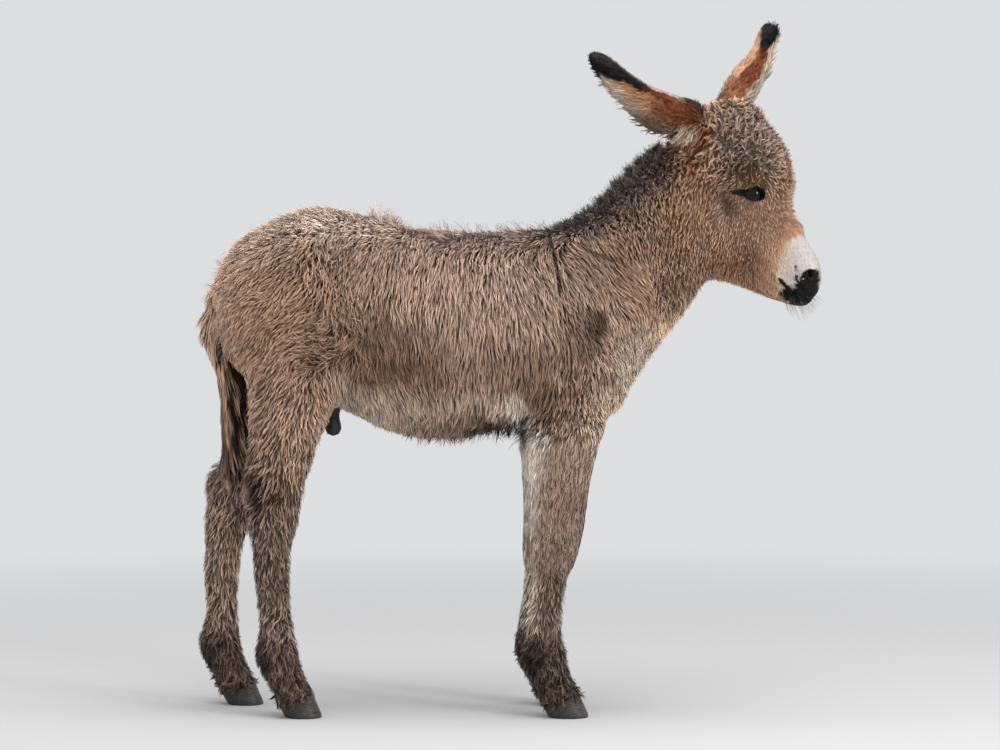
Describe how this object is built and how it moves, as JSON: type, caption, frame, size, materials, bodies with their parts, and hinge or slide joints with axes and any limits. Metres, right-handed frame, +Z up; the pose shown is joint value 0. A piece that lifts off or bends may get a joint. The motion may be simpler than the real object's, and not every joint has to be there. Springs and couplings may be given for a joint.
{
  "type": "donkey foal",
  "caption": "Woolly donkey foal standing still with its head raised and ears laid apart, a life-size figure on four small flat hooves.",
  "frame": {"origin": "centre of the bounding box's bottom face, on the floor between the hooves", "axes": "+X towards the nose, +Y towards the animal's left side, +Z up"},
  "size_m": [0.9791, 0.2414, 1.0844],
  "materials": {
    "coat": "woolly, matt",
    "dark_hair": "coarse hair, matt",
    "bare_skin": "soft, matt",
    "hoof": "horn, dull",
    "eye": "wet, glossy"
  },
  "bodies": {
    "root": {"head": "coat", "neck": "coat", "trunk": "coat", "fore_right_forearm": "coat", "fore_right_cannon": "coat", "fore_right_pastern": "coat", "hoof_fore_right": "hoof", "fore_left_forearm": "coat", "fore_left_cannon": "coat", "fore_left_pastern": "coat", "hoof_fore_left": "hoof", "hind_right_thigh": "coat", "hind_right_cannon": "coat", "hind_right_pastern": "coat", "hoof_hind_right": "hoof", "hind_left_thigh": "coat", "hind_left_cannon": "coat", "hind_left_pastern": "coat", "hoof_hind_left": "hoof", "ear_right": "coat", "ear_left": "coat", "eye_right": "eye", "eye_left": "eye", "mane": "dark_hair", "tail": "dark_hair", "sheath": "bare_skin"}
  },
  "joints": []
}
